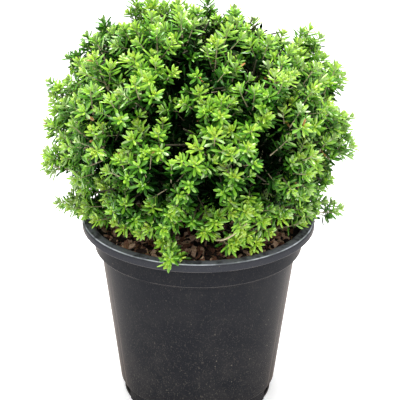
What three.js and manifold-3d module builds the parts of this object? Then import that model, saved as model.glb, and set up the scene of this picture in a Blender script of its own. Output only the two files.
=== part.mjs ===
// A flowering coastal rosemary, kept as a dense rounded shrub in a round nursery pot.
// Millimetres, +Z up. The origin is the middle of the pot's flat underside, and the
// photograph looks along +Y.

import * as THREE from 'three';
import { mergeVertices } from 'three/addons/utils/BufferGeometryUtils.js';
import Module from 'manifold-3d';

const wasm = await Module();
wasm.setup();

// Pot
const potHeight = 206;
const potSides = 44;
const rimRadius = 125;
const rimSkirt = 8.2;
const rimCrestRadius = 117.5;
const rimCrestRise = 1.8;
const rimEdge = 1;
const rimRoot = 4.6;
const collarRadius = 112;
const collarFlare = 0.6;
const collarFoot = 174.2;
const wallTopRadius = 105.8;
const wallFootRadius = 85.5;
const footBandHeight = 14.2;
const footRadius = 82.8;
const potWall = 2.5;
const floorThickness = 3;
const archCount = 4;
const archHalfAngle = THREE.MathUtils.degToRad(26.5);
const archHeight = 15.6;
const archCorner = 5;
const archSegments = 3;

// Potting soil
const soilGap = 0.35;
const soilLevel = 195;
const soilRise = 2;
const soilLump = 1.6;
const soilStandRadius = 24;
const soilStandBlend = 20;

// Crown
const crownHeight = 320;
const crownRadius = 175;
const crownHalfHeight = 138;
const massCount = 15;
const firstMassHeight = 0.98;
const lastMassHeight = -0.56;
const crownTurn = THREE.MathUtils.degToRad(257);
const goldenAngle = Math.PI * (3 - Math.sqrt(5));
const valleyDepth = 0.06;
const valleyAngle = 0.45;
const lowerFullness = 3;
const skirtHeight = 212;
const limbConeRadius = 16;
const limbConeSlope = 0.74;

// Trunk and boughs
const trunkFoot = soilLevel + soilRise + 0.3;
const trunkTop = 275;
const trunkLean = 5;
const trunkFootRadius = 9;
const trunkTopRadius = 6.5;
const rootFlare = 5;
const rootFlareFade = 7;
const rootRibs = 5;
const boughRootRadius = 2.8;
const boughTipRadius = 2;
const boughLowest = 213;
const boughHighest = 272;
const boughReach = 0.38;
const boughLead = 0.3;
const boughOffAxis = 2.5;
const limbGap = 0.3;

// Foliage masses
const massGap = 0.9;
const coreGap = 1.5;
const coreInset = 36;
const hollowShare = 0.45;
const coreMiddle = 0.6;
const stemRadius = 2;
const twigsPerMass = 15;
const twigSpread = 0.78;
const twigRootRadius = 2.4;
const twigTipRadius = 1.7;
const leavesPerTwig = 4;
const leafSpacing = 4;
const leafLength = 33;
const leafWidth = 12;
const leafThickness = 3;
const leafSpread = THREE.MathUtils.degToRad(56);

const potPlastic = { color: 0x37373b, roughness: 0.6, metalness: 0 };
const soilBark = { color: 0x3a281c, roughness: 0.95, metalness: 0 };
const bark = { color: 0x8a765c, roughness: 0.85, metalness: 0 };
const foliage = { color: 0x5f9a28, roughness: 0.6, metalness: 0 };

const crownCentre = new THREE.Vector3(0, 0, crownHeight);
const crownAxes = new THREE.Vector3(crownRadius, crownRadius, crownHalfHeight);

function toSolid(geometry) {
  geometry.deleteAttribute('normal');
  geometry.deleteAttribute('uv');
  const merged = mergeVertices(geometry, 1e-4);
  const corners = merged.index.array;
  const triangles = [];
  for (let i = 0; i < corners.length; i += 3) {
    const [a, b, c] = corners.slice(i, i + 3);
    if (a !== b && b !== c && c !== a) triangles.push(a, b, c);
  }
  return new wasm.Manifold(new wasm.Mesh({
    numProp: 3,
    vertProperties: new Float32Array(merged.attributes.position.array),
    triVerts: new Uint32Array(triangles),
  }));
}

// The largest closed body: a sealed hollow is filled and a loose scrap is dropped.
function largestBody(solid) {
  const bodies = solid.decompose();
  return bodies.reduce((best, body) => (body.volume() > best.volume() ? body : best));
}

function toMesh(solid, name, finish) {
  const cut = solid.getMesh();
  const geometry = new THREE.BufferGeometry();
  geometry.setAttribute('position', new THREE.BufferAttribute(cut.vertProperties, 3));
  geometry.setIndex(new THREE.BufferAttribute(cut.triVerts, 1));
  geometry.computeVertexNormals();
  const mesh = new THREE.Mesh(geometry, new THREE.MeshStandardMaterial(finish));
  mesh.name = name;
  return mesh;
}

// A turned body about +Z from points of radius and height.
function turned(profile) {
  const points = profile.map(([radius, height]) => new THREE.Vector2(radius, height));
  return new THREE.LatheGeometry(points, potSides).rotateX(Math.PI / 2);
}

// A tapering limb: a closed cylinder whose rings are laid along a curve.
function limbGeometry(curve, radiusAt, sides, steps) {
  const geometry = new THREE.CylinderGeometry(1, 1, 1, sides, steps);
  const position = geometry.attributes.position;
  const chord = curve.getPoint(1).sub(curve.getPoint(0)).normalize();
  const reference = Math.abs(chord.z) > 0.8 ? new THREE.Vector3(0, 1, 0) : new THREE.Vector3(0, 0, 1);
  for (let i = 0; i < position.count; i++) {
    const share = THREE.MathUtils.clamp(position.getY(i) + 0.5, 0, 1);
    const along = curve.getTangent(share);
    const across = new THREE.Vector3().crossVectors(reference, along).normalize();
    const third = new THREE.Vector3().crossVectors(across, along);
    const radius = radiusAt(share, Math.atan2(position.getZ(i), position.getX(i)));
    const point = curve.getPoint(share);
    point.addScaledVector(across, position.getX(i) * radius);
    point.addScaledVector(third, position.getZ(i) * radius);
    position.setXYZ(i, point.x, point.y, point.z);
  }
  return geometry;
}

// Numbers from 0 to 1 that look random and are the same each run.
function seeded(seed) {
  let state = seed;
  return () => {
    state = (Math.imul(state, 1664525) + 1013904223) >>> 0;
    return state / 4294967296;
  };
}

// Pot: the wall with its turned-down rim is one closed profile, four low arches are cut
// in its foot, and the floor is a disc whose flat underside the pot stands on.
function innerWallRadius(height) {
  const slope = (wallTopRadius - wallFootRadius) / (collarFoot - footBandHeight);
  return wallFootRadius + slope * (height - footBandHeight) - potWall;
}

function makePot() {
  const crest = potHeight + rimCrestRise;
  const skirtFoot = potHeight - rimSkirt;
  const insideFoot = footRadius - potWall;
  const shelf = collarFoot - potWall;
  let wall = toSolid(turned([
    [footRadius, 0],
    [footRadius, footBandHeight],
    [wallFootRadius, footBandHeight],
    [wallTopRadius, collarFoot],
    [collarRadius, collarFoot],
    [collarRadius + collarFlare, skirtFoot + rimRoot],
    [rimRadius - potWall, skirtFoot + rimRoot],
    [rimRadius - potWall, skirtFoot],
    [rimRadius, skirtFoot],
    [rimRadius, potHeight - rimEdge],
    [rimRadius - rimEdge, potHeight],
    [rimCrestRadius, crest],
    [rimCrestRadius - potWall, crest - rimEdge],
    [collarRadius - potWall + collarFlare, skirtFoot],
    [collarRadius - potWall, shelf],
    [innerWallRadius(shelf), shelf],
    [insideFoot, 0],
    [footRadius, 0],
  ]));
  const halfWidth = footRadius * Math.sin(archHalfAngle);
  const arch = new THREE.Shape();
  arch.moveTo(-halfWidth, -archHeight);
  arch.lineTo(-halfWidth, archHeight - archCorner);
  arch.quadraticCurveTo(-halfWidth, archHeight, archCorner - halfWidth, archHeight);
  arch.lineTo(halfWidth - archCorner, archHeight);
  arch.quadraticCurveTo(halfWidth, archHeight, halfWidth, archHeight - archCorner);
  arch.lineTo(halfWidth, -archHeight);
  for (let i = 0; i < archCount; i++) {
    const cutter = new THREE.ExtrudeGeometry(arch, {
      depth: rimRadius,
      curveSegments: archSegments,
      bevelEnabled: false,
    });
    cutter.rotateX(Math.PI / 2).translate(0, -insideFoot / 2, 0);
    cutter.rotateZ(i * 2 * Math.PI / archCount);
    wall = wall.subtract(toSolid(cutter));
  }
  const floor = toSolid(turned([
    [0, 0],
    [footRadius - potWall / 2, 0],
    [footRadius - potWall / 2, floorThickness],
    [0, floorThickness],
  ]));
  return largestBody(wall.add(floor));
}

// Potting soil: it fills the pot a hair clear of the wall, with a lumpy top that is flat
// where the trunk stands.
function soilTop(x, y) {
  const out = Math.hypot(x, y);
  const lumps = Math.sin(x / 6.1 + 1) * Math.cos(y / 5.3) + Math.sin((x + 2 * y) / 9);
  const share = THREE.MathUtils.clamp((out - soilStandRadius) / soilStandBlend, 0, 1);
  return soilLevel + soilRise * (1 - share) + share * soilLump * lumps;
}

function makeSoil() {
  const shelf = collarFoot - potWall + soilGap;
  const wallRadius = (height) => innerWallRadius(height) - soilGap;
  const brim = collarRadius - potWall - soilGap;
  const rings = [0.97, 0.86, 0.72, 0.56, 0.4].map((share) => [brim * share, soilLevel]);
  const geometry = turned([
    [0, floorThickness + soilGap],
    [footRadius - potWall - 2 * soilGap, floorThickness + soilGap],
    [wallRadius(shelf), shelf],
    [brim, shelf],
    [brim, soilLevel],
    ...rings,
    [soilStandRadius, soilLevel],
    [0, soilLevel],
  ]);
  const position = geometry.attributes.position;
  for (let i = 0; i < position.count; i++) {
    if (position.getZ(i) < soilLevel - 1) continue;
    position.setZ(i, soilTop(position.getX(i), position.getY(i)));
  }
  return toSolid(geometry);
}

// Trunk: a short leaning stem with a root flare, cut flat where it stands on the soil.
// The swell makes the slightly larger body that a bough's root is cut by.
function makeTrunk(swell) {
  const foot = new THREE.Vector3(0, 0, trunkFoot - swell);
  const middle = new THREE.Vector3(0, 0, (trunkFoot + trunkTop) / 2);
  const top = new THREE.Vector3(trunkLean, -trunkLean * 0.4, trunkTop + swell);
  const curve = new THREE.QuadraticBezierCurve3(foot, middle, top);
  const radiusAt = (share, turn) => {
    const taper = THREE.MathUtils.lerp(trunkFootRadius, trunkTopRadius, share);
    const ribs = 1 + 0.35 * Math.cos(rootRibs * turn);
    const flare = rootFlare * Math.exp(-rootFlareFade * share) * ribs;
    return taper + flare + swell;
  };
  return { curve, radiusAt, solid: toSolid(limbGeometry(curve, radiusAt, 10, 6)) };
}

// Directions of the masses, in the crown's own scaled space, down a golden spiral.
function massDirection(i) {
  const height = THREE.MathUtils.lerp(firstMassHeight, lastMassHeight, i / (massCount - 1));
  const turn = crownTurn + i * goldenAngle;
  const out = Math.sqrt(1 - height * height);
  return new THREE.Vector3(out * Math.cos(turn), out * Math.sin(turn), height);
}

const directions = Array.from({ length: massCount }, (_, i) => massDirection(i));

function fromCrown(direction, share) {
  return direction.clone().multiplyScalar(share).multiply(crownAxes);
}

// How far mass i reaches that way, as a share of the crown's axes: the crown is rounder
// above and fuller below, sinks into a valley between one mass and the next, and is cut
// level at its skirt, over the soil.
function reachOf(i, unit) {
  const power = unit.z < 0 ? lowerFullness : 2;
  const out = Math.hypot(unit.x, unit.y);
  const crown = Math.pow(Math.pow(out, power) + Math.pow(Math.abs(unit.z), power), -1 / power);
  const valley = valleyDepth * (unit.angleTo(directions[i]) / valleyAngle) ** 2;
  const skirt = (skirtHeight - crownHeight) / (crownHalfHeight * Math.min(unit.z, -0.01));
  return Math.min(crown * (1 - valley), skirt);
}

// Clear of the pot and the soil, and of the cone that the trunk and boughs spread in.
function clearOfLimbs(point) {
  const height = point.z + crownHeight;
  const out = Math.hypot(point.x, point.y);
  if (height < skirtHeight) return false;
  return height > crownHeight || out > limbConeRadius + limbConeSlope * (height - boughLowest);
}

// Mass i's own space: nearer to its direction than to any other by a gap, and an inset
// short of its reach.
function inSpace(point, i, inset, gap) {
  const scaled = point.clone().divide(crownAxes);
  if (scaled.length() < hollowShare || !clearOfLimbs(point)) return false;
  const unit = scaled.clone().normalize();
  if (point.length() > fromCrown(unit, reachOf(i, unit)).length() - inset) return false;
  return directions.every((other, j) => {
    if (j === i) return true;
    const apart = directions[i].clone().sub(other);
    return apart.dot(scaled) >= gap * apart.clone().divide(crownAxes).length();
  });
}

// Bough i: one tapering limb that leaves the trunk at a slant and curves up to where it
// enters its mass. The lowest masses have the lowest boughs.
function makeBough(i, trunk, trunkSwollen) {
  const height = THREE.MathUtils.lerp(boughHighest, boughLowest, i / (massCount - 1));
  const along = (height - trunkFoot) / (trunkTop - trunkFoot);
  const tip = fromCrown(directions[i], boughReach);
  const outward = fromCrown(directions[i], 1).normalize();
  const sideways = new THREE.Vector3(tip.x, tip.y, 0);
  const offAxis = sideways.clone().setLength(boughOffAxis);
  const root = trunk.curve.getPoint(along).sub(crownCentre).add(offAxis);
  const lead = boughLead * root.distanceTo(tip);
  const knee = root.clone().add(new THREE.Vector3(0, 0, lead));
  knee.add(sideways.setLength(Math.min(lead, 0.8 * sideways.length())));
  const entry = tip.clone().addScaledVector(outward, -lead);
  const curve = new THREE.CubicBezierCurve3(root, knee, entry, tip);
  const radiusAt = (part) => THREE.MathUtils.lerp(boughRootRadius, boughTipRadius, part);
  const whole = toSolid(limbGeometry(curve, radiusAt, 6, 4));
  return { tip, outward, solid: largestBody(whole.subtract(trunkSwollen)) };
}

// Core of a dense mass: a ball whose points are pushed out until they meet the edge of
// the mass's space.
function makeCore(i) {
  const middle = fromCrown(directions[i], coreMiddle);
  const geometry = new THREE.IcosahedronGeometry(1, 1);
  const position = geometry.attributes.position;
  for (let k = 0; k < position.count; k++) {
    const way = new THREE.Vector3().fromBufferAttribute(position, k);
    let out = 4;
    while (out < crownRadius) {
      const next = middle.clone().addScaledVector(way, out + 1);
      if (!inSpace(next, i, coreInset, coreGap)) break;
      out += 1;
    }
    const point = middle.clone().addScaledVector(way, out);
    position.setXYZ(k, point.x, point.y, point.z);
  }
  return { middle, solid: toSolid(geometry) };
}

// A leaf is a long flattened tetrahedron: one edge is its midrib from root to tip, and
// the opposite edge is its width, so it is folded a little along the midrib.
function makeLeaf(root, along, face) {
  const side = new THREE.Vector3().crossVectors(along, face).normalize();
  const normal = new THREE.Vector3().crossVectors(side, along).normalize();
  const geometry = new THREE.TetrahedronGeometry(Math.sqrt(3)).rotateZ(Math.PI / 4);
  const edge = 2 * Math.SQRT2;
  geometry.scale(leafWidth / edge, leafLength / edge, leafThickness / 2);
  geometry.translate(0, leafLength / 2, -leafThickness / 2);
  const place = new THREE.Matrix4().makeBasis(side, along, normal).setPosition(root);
  return geometry.applyMatrix4(place);
}

function allInSpace(geometry, i) {
  const position = geometry.attributes.position;
  for (let k = 0; k < position.count; k++) {
    const point = new THREE.Vector3().fromBufferAttribute(position, k);
    if (!inSpace(point, i, 0, massGap)) return false;
  }
  return true;
}

// Foliage mass i: a stem from the bough's tip, twigs that fan out from it by the golden
// angle, and leaves set round each twig's end by the same angle.
function makeMass(i, bough) {
  const random = seeded(1000 + 77 * i);
  const core = makeCore(i);
  const start = bough.tip.clone().addScaledVector(bough.outward, limbGap);
  const stem = new THREE.LineCurve3(start, core.middle);
  let solid = core.solid.add(toSolid(limbGeometry(stem, () => stemRadius, 6, 1)));
  const across = new THREE.Vector3().crossVectors(directions[i], new THREE.Vector3(0.3, 0.2, 1));
  across.normalize();
  const third = new THREE.Vector3().crossVectors(directions[i], across);
  for (let k = 0; k < twigsPerMass; k++) {
    const spread = twigSpread * Math.sqrt((k + 0.4) / twigsPerMass);
    const turn = k * goldenAngle + 0.5 * (random() - 0.5);
    const way = directions[i].clone().multiplyScalar(Math.cos(spread));
    way.addScaledVector(across, Math.sin(spread) * Math.cos(turn));
    way.addScaledVector(third, Math.sin(spread) * Math.sin(turn));
    const outermost = fromCrown(way, reachOf(i, way) - 0.02 * random());
    const along = outermost.clone().sub(core.middle).normalize();
    const tip = outermost.clone().addScaledVector(along, -leafLength);
    if (!inSpace(tip, i, 0, 3 * massGap)) continue;
    const twig = new THREE.LineCurve3(core.middle, tip);
    const radiusAt = (part) => THREE.MathUtils.lerp(twigRootRadius, twigTipRadius, part);
    solid = solid.add(toSolid(limbGeometry(twig, radiusAt, 3, 1)));
    const side = new THREE.Vector3().crossVectors(along, across).normalize();
    side.applyAxisAngle(along, 2 * Math.PI * random());
    for (let n = 0; n < leavesPerTwig; n++) {
      const tilt = n === 0 ? 0 : leafSpread;
      const lean = side.clone().applyAxisAngle(along, n * goldenAngle);
      const leafWay = along.clone().multiplyScalar(Math.cos(tilt));
      leafWay.addScaledVector(lean, Math.sin(tilt)).normalize();
      const root = tip.clone().addScaledVector(along, -1 - n * leafSpacing);
      const leaf = makeLeaf(root, leafWay, n === 0 ? lean : along);
      if (allInSpace(leaf, i)) solid = solid.add(toSolid(leaf));
    }
  }
  return largestBody(solid);
}

const part = new THREE.Group();
part.add(toMesh(makePot(), 'pot', potPlastic));
part.add(toMesh(makeSoil(), 'potting_soil', soilBark));
const trunk = makeTrunk(0);
const trunkSwollen = makeTrunk(limbGap).solid.translate(0, 0, -crownHeight);
part.add(toMesh(trunk.solid, 'trunk', bark));

const crown = new THREE.Group();
crown.position.copy(crownCentre);
part.add(crown);
for (let i = 0; i < massCount; i++) {
  const number = String(i + 1).padStart(2, '0');
  const bough = makeBough(i, trunk, trunkSwollen);
  crown.add(toMesh(bough.solid, `bough_${number}`, bark));
  crown.add(toMesh(makeMass(i, bough), `foliage_${number}`, foliage));
}

export default part;
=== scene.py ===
# %% [markdown]
# A coastal rosemary in its nursery pot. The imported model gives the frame: a charcoal pot,
# potting mix, a short trunk, fifteen boughs and fifteen masses of foliage. This lesson
# dresses that frame. The pot is turned again with its fine roundings, the mix gets bark
# chips, the wood gets relief, and each mass becomes twigs with whorls of small leaves.

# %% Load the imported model
import math

import bmesh
import bpy
import numpy as np
from mathutils import Matrix, Vector, noise


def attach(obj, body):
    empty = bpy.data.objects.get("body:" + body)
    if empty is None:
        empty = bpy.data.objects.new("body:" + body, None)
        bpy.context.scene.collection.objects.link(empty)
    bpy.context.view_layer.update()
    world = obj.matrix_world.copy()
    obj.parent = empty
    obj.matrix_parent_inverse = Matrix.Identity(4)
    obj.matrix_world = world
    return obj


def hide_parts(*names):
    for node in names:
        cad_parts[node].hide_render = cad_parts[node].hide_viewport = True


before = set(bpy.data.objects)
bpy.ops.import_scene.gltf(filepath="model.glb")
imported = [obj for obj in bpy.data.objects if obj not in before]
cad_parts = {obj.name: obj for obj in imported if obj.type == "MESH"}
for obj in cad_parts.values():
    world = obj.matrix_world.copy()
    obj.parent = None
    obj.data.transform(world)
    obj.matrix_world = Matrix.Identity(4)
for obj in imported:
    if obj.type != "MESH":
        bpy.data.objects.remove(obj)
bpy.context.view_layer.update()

MM = 0.001
GOLDEN_ANGLE = math.pi * (3 - math.sqrt(5))
foliage_nodes = sorted(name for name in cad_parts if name.startswith("foliage_"))
bough_nodes = sorted(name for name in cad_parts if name.startswith("bough_"))
print(len(bough_nodes), "boughs carry", len(foliage_nodes), "masses")

# %% [markdown]
# The camera comes first, because every later choice is judged through it. The real
# picture was taken with a long lens from a little above, so the rim shows as a flat
# ellipse. A long lens far away gives that ellipse, and a near, wide one would not.

# %% Camera
CAMERA_PLACE = Vector((1.5, -1461.3, 857.5)) * MM
CAMERA_PITCH = math.radians(66.54)
CAMERA_ROLL = math.radians(0.4)
CAMERA_LENS = 133.74
SENSOR_WIDTH = 36


def add_object(name, content):
    """Adds an object with the given content to the scene."""
    item = bpy.data.objects.new(name, content)
    bpy.context.scene.collection.objects.link(item)
    return item


camera_data = bpy.data.cameras.new("camera")
camera_data.lens = CAMERA_LENS
camera_data.sensor_width = SENSOR_WIDTH
camera = add_object("camera", camera_data)
turn = Matrix.Rotation(CAMERA_PITCH, 4, "X") @ Matrix.Rotation(CAMERA_ROLL, 4, "Z")
camera.matrix_world = Matrix.Translation(CAMERA_PLACE) @ turn
bpy.context.scene.camera = camera
print("camera is", round(CAMERA_PLACE.length, 3), "m away")

# %% [markdown]
# The studio is a pale floor under a white sky, with three soft lamps: the strongest
# above and a little behind, a large one in front and to the left, and a weak one on the
# right. The sky alone would make a dense shrub look flat. The lamps leave the hollows
# between the shoots dark, and their soft edges keep the leaves from harsh spots. The
# floor glows faintly, so that it stays white where the plant shades it.

# %% Floor, sky and lamps
FLOOR_SIZE = 14
SKY_STRENGTH = 0.5
LAMP_TARGET = Vector((0, 0, 0.25))
# Each lamp has a name, a place and a size in metres, and a power in watts.
LAMPS = [
    ("key lamp", (-0.35, -1.4, 1.9), 1.6, 18.5),
    ("fill lamp", (1.3, -0.6, 1.1), 1.0, 5),
    ("top lamp", (-0.06, 0.3, 2.1), 1.2, 76),
]


def add_lamp(name, place, size, power):
    """A square soft lamp that looks at the middle of the plant."""
    lamp_data = bpy.data.lights.new(name, "AREA")
    lamp_data.size = size
    lamp_data.energy = power
    lamp = add_object(name, lamp_data)
    lamp.location = place
    lamp.rotation_euler = (LAMP_TARGET - lamp.location).to_track_quat("-Z", "Y").to_euler()


world = bpy.data.worlds.new("white sky")
world.use_nodes = True
background = world.node_tree.nodes["Background"]
background.inputs["Color"].default_value = (1, 1, 1, 1)
background.inputs["Strength"].default_value = SKY_STRENGTH
bpy.context.scene.world = world
bpy.context.scene.view_settings.view_transform = "Standard"
for lamp_row in LAMPS:
    add_lamp(*lamp_row)

floor_shape = bmesh.new()
bmesh.ops.create_grid(floor_shape, x_segments=1, y_segments=1, size=FLOOR_SIZE / 2)
floor_mesh = bpy.data.meshes.new("floor")
floor_shape.to_mesh(floor_mesh)
floor_shape.free()
floor = add_object("floor", floor_mesh)
print("lamps:", [item.name for item in bpy.data.lights])

# %% [markdown]
# Materials are written as shader maths. One small class wraps a socket, so that a mask
# can be written as an expression, and a second one wraps a material with the few patterns
# used here. They keep the node tree out of sight and leave each pattern easy to read.

# %% Shader helpers


class Wire:
    """A socket of a material's node tree that takes part in expressions."""

    def __init__(self, tree, socket):
        self.tree = tree
        self.socket = socket

    def math(self, operation, *values):
        """The outcome of a maths node with the given values."""
        settings = {"operation": operation}
        return add_node(self.tree, "ShaderNodeMath", settings, dict(enumerate(values)))

    def __add__(self, other):
        return self.math("ADD", self, other)

    def __sub__(self, other):
        return self.math("SUBTRACT", self, other)

    def __rsub__(self, other):
        return self.math("SUBTRACT", other, self)

    def __mul__(self, other):
        return self.math("MULTIPLY", self, other)

    def __lt__(self, other):
        return self.math("LESS_THAN", self, other)

    __radd__ = __add__
    __rmul__ = __mul__

    def smooth(self, low, high):
        """0 below low and 1 above high, with a soft step between."""
        settings = {"interpolation_type": "SMOOTHSTEP"}
        values = {"Value": self, "From Min": low, "From Max": high}
        return add_node(self.tree, "ShaderNodeMapRange", settings, values)


def add_node(tree, kind, settings=None, values=None, output=0):
    """Adds a node, sets it up, fills or links its sockets and returns one output."""
    node = tree.nodes.new(kind)
    for name, setting in (settings or {}).items():
        setattr(node, name, setting)
    for name, value in (values or {}).items():
        if isinstance(value, Wire):
            tree.links.new(value.socket, node.inputs[name])
        else:
            node.inputs[name].default_value = value
    return Wire(tree, node.outputs[output])


class Finish:
    """A material with one Principled shader, and a few short ways to pattern it."""

    def __init__(self, name, **numbers):
        self.material = bpy.data.materials.new(name)
        self.material.use_nodes = True
        self.tree = self.material.node_tree
        self.shader = self.tree.nodes["Principled BSDF"]
        for socket, number in numbers.items():
            self.shader.inputs[socket.replace("_", " ")].default_value = number

    def add(self, kind, settings=None, values=None, output=0):
        """Adds a node to this material's tree and returns one of its outputs."""
        return add_node(self.tree, kind, settings, values, output)

    def feed(self, socket, value):
        """Links a wire to one of the shader's inputs."""
        self.tree.links.new(value.socket, self.shader.inputs[socket])

    def place(self, stretch=(1, 1, 1)):
        """The point on the piece, in metres, with each axis stretched."""
        point = self.add("ShaderNodeTexCoord", output="Object")
        return self.add("ShaderNodeMapping", values={"Vector": point, "Scale": stretch})

    def noise(self, size, detail=3, stretch=(1, 1, 1), roughness=0.5):
        """Cloudy noise from 0 to 1, with features of the size given in millimetres."""
        values = {"Vector": self.place(stretch), "Scale": 1 / (size * MM)}
        values |= {"Detail": detail, "Roughness": roughness}
        return self.add("ShaderNodeTexNoise", values=values)

    def specks(self, size, radius, share):
        """A mask of round specks, one in each cell of the given size, in a share of them."""
        values = {"Vector": self.place(), "Scale": 1 / (size * MM)}
        cells = self.add("ShaderNodeTexVoronoi", values=values)
        tint = Wire(self.tree, cells.socket.node.outputs["Color"])
        chance = self.add("ShaderNodeSeparateColor", values={"Color": tint})
        return (cells < radius) * (chance < share)

    def mix(self, mask, first, second):
        """first where the mask is 0 and second where it is 1."""
        settings = {"data_type": "RGBA"}
        return self.add("ShaderNodeMix", settings, {0: mask, 6: first, 7: second}, 2)

    def bump(self, height, distance):
        """Feeds the normal with a bump whose full height is in millimetres."""
        values = {"Height": height, "Distance": distance * MM}
        self.feed("Normal", self.add("ShaderNodeBump", values=values))


def paint(red, green, blue):
    """A screen colour, from 0 to 255, as the linear colour that a shader takes."""
    return tuple(((part / 255 + 0.055) / 1.055) ** 2.4 for part in (red, green, blue)) + (1.0,)


floor_finish = Finish(
    "pale floor", Base_Color=(0.95, 0.95, 0.95, 1), Roughness=0.9, Specular_IOR_Level=0.1,
    Emission_Color=(1, 1, 1, 1), Emission_Strength=0.4,
)
floor_mesh.materials.append(floor_finish.material)
print("floor finish:", floor_finish.material.name)

# %% [markdown]
# Every finished piece is handed to the frame in the same way: it rides on the one body,
# and the imported nodes that it stands for are hidden. A mesh made from arrays is
# the quick way to hold tens of thousands of small leaves, because an operator call for
# each leaf would take minutes.

# %% Piece helpers


def new_mesh(name, finishes):
    """An empty mesh that holds its finishes."""
    mesh = bpy.data.meshes.new(name)
    for finish in finishes:
        mesh.materials.append(finish.material)
    return mesh


def hand_over(name, mesh, nodes, smooth_below):
    """Shades a mesh smooth where its faces meet gently, and links it to the frame."""
    mesh.shade_smooth()
    mesh.set_sharp_from_angle(angle=math.radians(smooth_below))
    piece = add_object(name, mesh)
    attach(piece, "root")
    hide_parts(*nodes)
    print(name, "has", len(mesh.polygons), "faces")


def piece_from_bmesh(name, shape, finish, nodes, smooth_below=40):
    """Makes a piece from a bmesh in millimetres."""
    bmesh.ops.recalc_face_normals(shape, faces=shape.faces)
    bmesh.ops.scale(shape, vec=(MM, MM, MM), verts=shape.verts)
    mesh = new_mesh(name, [finish])
    shape.to_mesh(mesh)
    shape.free()
    hand_over(name, mesh, nodes, smooth_below)


def piece_from_arrays(name, shape, finishes, nodes, face_finish=None, smooth_below=60):
    """Makes a piece from (points, triangles), with the points in millimetres."""
    points, triangles = shape
    mesh = new_mesh(name, finishes)
    mesh.vertices.add(len(points))
    mesh.vertices.foreach_set("co", (points * MM).astype(np.float32).ravel())
    mesh.loops.add(triangles.size)
    mesh.loops.foreach_set("vertex_index", triangles.astype(np.int32).ravel())
    mesh.polygons.add(len(triangles))
    mesh.polygons.foreach_set("loop_start", np.arange(0, triangles.size, 3, dtype=np.int32))
    if face_finish is not None:
        mesh.polygons.foreach_set("material_index", face_finish.astype(np.int32))
    mesh.update(calc_edges=True)
    mesh.validate()
    hand_over(name, mesh, nodes, smooth_below)


def joined(parts):
    """Joins (points, triangles) pairs into one."""
    starts = np.cumsum([0] + [len(points) for points, _ in parts[:-1]])
    points = np.concatenate([points for points, _ in parts])
    triangles = np.concatenate([faces + start for (_, faces), start in zip(parts, starts)])
    return points, triangles


# %% [markdown]
# The pot is injection moulded: a thin wall, a stepped collar and a turned-down rim with
# soft edges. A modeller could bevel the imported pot, but its facets would stay. Here the
# section is drawn once, its corners are rounded, and it is spun in fine steps.

# %% Pot section
POT_HEIGHT = 206
RIM_RADIUS = 125
RIM_SKIRT = 8.2
RIM_ROOT = 4.6
RIM_CREST_RADIUS = 117.5
RIM_CREST_RISE = 1.8
COLLAR_RADIUS = 112
COLLAR_FLARE = 0.6
COLLAR_FOOT = 174.2
WALL_TOP_RADIUS = 105.8
WALL_FOOT_RADIUS = 85.5
FOOT_BAND_HEIGHT = 14.2
FOOT_RADIUS = 82.8
POT_WALL = 2.5
FLOOR_THICKNESS = 3
POT_STEPS = 288
ROUNDING_STEPS = 4


def inner_wall_radius(height):
    """Radius of the wall's inner face at a height."""
    slope = (WALL_TOP_RADIUS - WALL_FOOT_RADIUS) / (COLLAR_FOOT - FOOT_BAND_HEIGHT)
    return WALL_FOOT_RADIUS + slope * (height - FOOT_BAND_HEIGHT) - POT_WALL


def rounded_outline(corners):
    """Replaces each corner (radius, height, rounding) of a closed outline by an arc."""
    outline = []
    places = [Vector((radius, 0, height)) for radius, height, _ in corners]
    for i, (_, _, rounding) in enumerate(corners):
        here = places[i]
        before = (places[i - 1] - here).normalized() * rounding
        after = (places[(i + 1) % len(places)] - here).normalized() * rounding
        if rounding == 0:
            outline.append(here)
            continue
        for step in range(ROUNDING_STEPS + 1):
            share = step / ROUNDING_STEPS
            outline.append(here + before * (1 - share) ** 2 + after * share**2)
    return outline


def spun(outline, steps, closed):
    """Spins an outline in the XZ plane once round the Z axis."""
    shape = bmesh.new()
    corners = [shape.verts.new(point) for point in outline]
    chain = [shape.edges.new(pair) for pair in zip(corners, corners[1:])]
    if closed:
        chain.append(shape.edges.new((corners[-1], corners[0])))
    bmesh.ops.spin(
        shape, geom=corners + chain, cent=(0, 0, 0), axis=(0, 0, 1), dvec=(0, 0, 0),
        angle=2 * math.pi, steps=steps, use_merge=True, use_duplicate=False,
    )
    bmesh.ops.remove_doubles(shape, verts=shape.verts, dist=0.01)
    return shape


crest = POT_HEIGHT + RIM_CREST_RISE
skirt_foot = POT_HEIGHT - RIM_SKIRT
shelf = COLLAR_FOOT - POT_WALL
pot_section = [
    (FOOT_RADIUS, 0, 0),
    (FOOT_RADIUS, FOOT_BAND_HEIGHT, 0.4),
    (WALL_FOOT_RADIUS, FOOT_BAND_HEIGHT, 0.9),
    (WALL_TOP_RADIUS, COLLAR_FOOT, 0.8),
    (COLLAR_RADIUS, COLLAR_FOOT, 0.9),
    (COLLAR_RADIUS + COLLAR_FLARE, skirt_foot + RIM_ROOT, 0.8),
    (RIM_RADIUS - POT_WALL, skirt_foot + RIM_ROOT, 0.8),
    (RIM_RADIUS - POT_WALL, skirt_foot, 0.7),
    (RIM_RADIUS, skirt_foot, 0.9),
    (RIM_RADIUS, POT_HEIGHT, 2.2),
    (RIM_CREST_RADIUS, crest, 2.4),
    (RIM_CREST_RADIUS - POT_WALL, crest - 1, 1),
    (COLLAR_RADIUS - POT_WALL + COLLAR_FLARE, skirt_foot, 1.2),
    (COLLAR_RADIUS - POT_WALL, shelf, 1),
    (inner_wall_radius(shelf), shelf, 1),
    (FOOT_RADIUS - POT_WALL, 0, 0),
]
pot = spun(rounded_outline(pot_section), POT_STEPS, closed=True)
print("pot section spun into", len(pot.faces), "faces")

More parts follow.
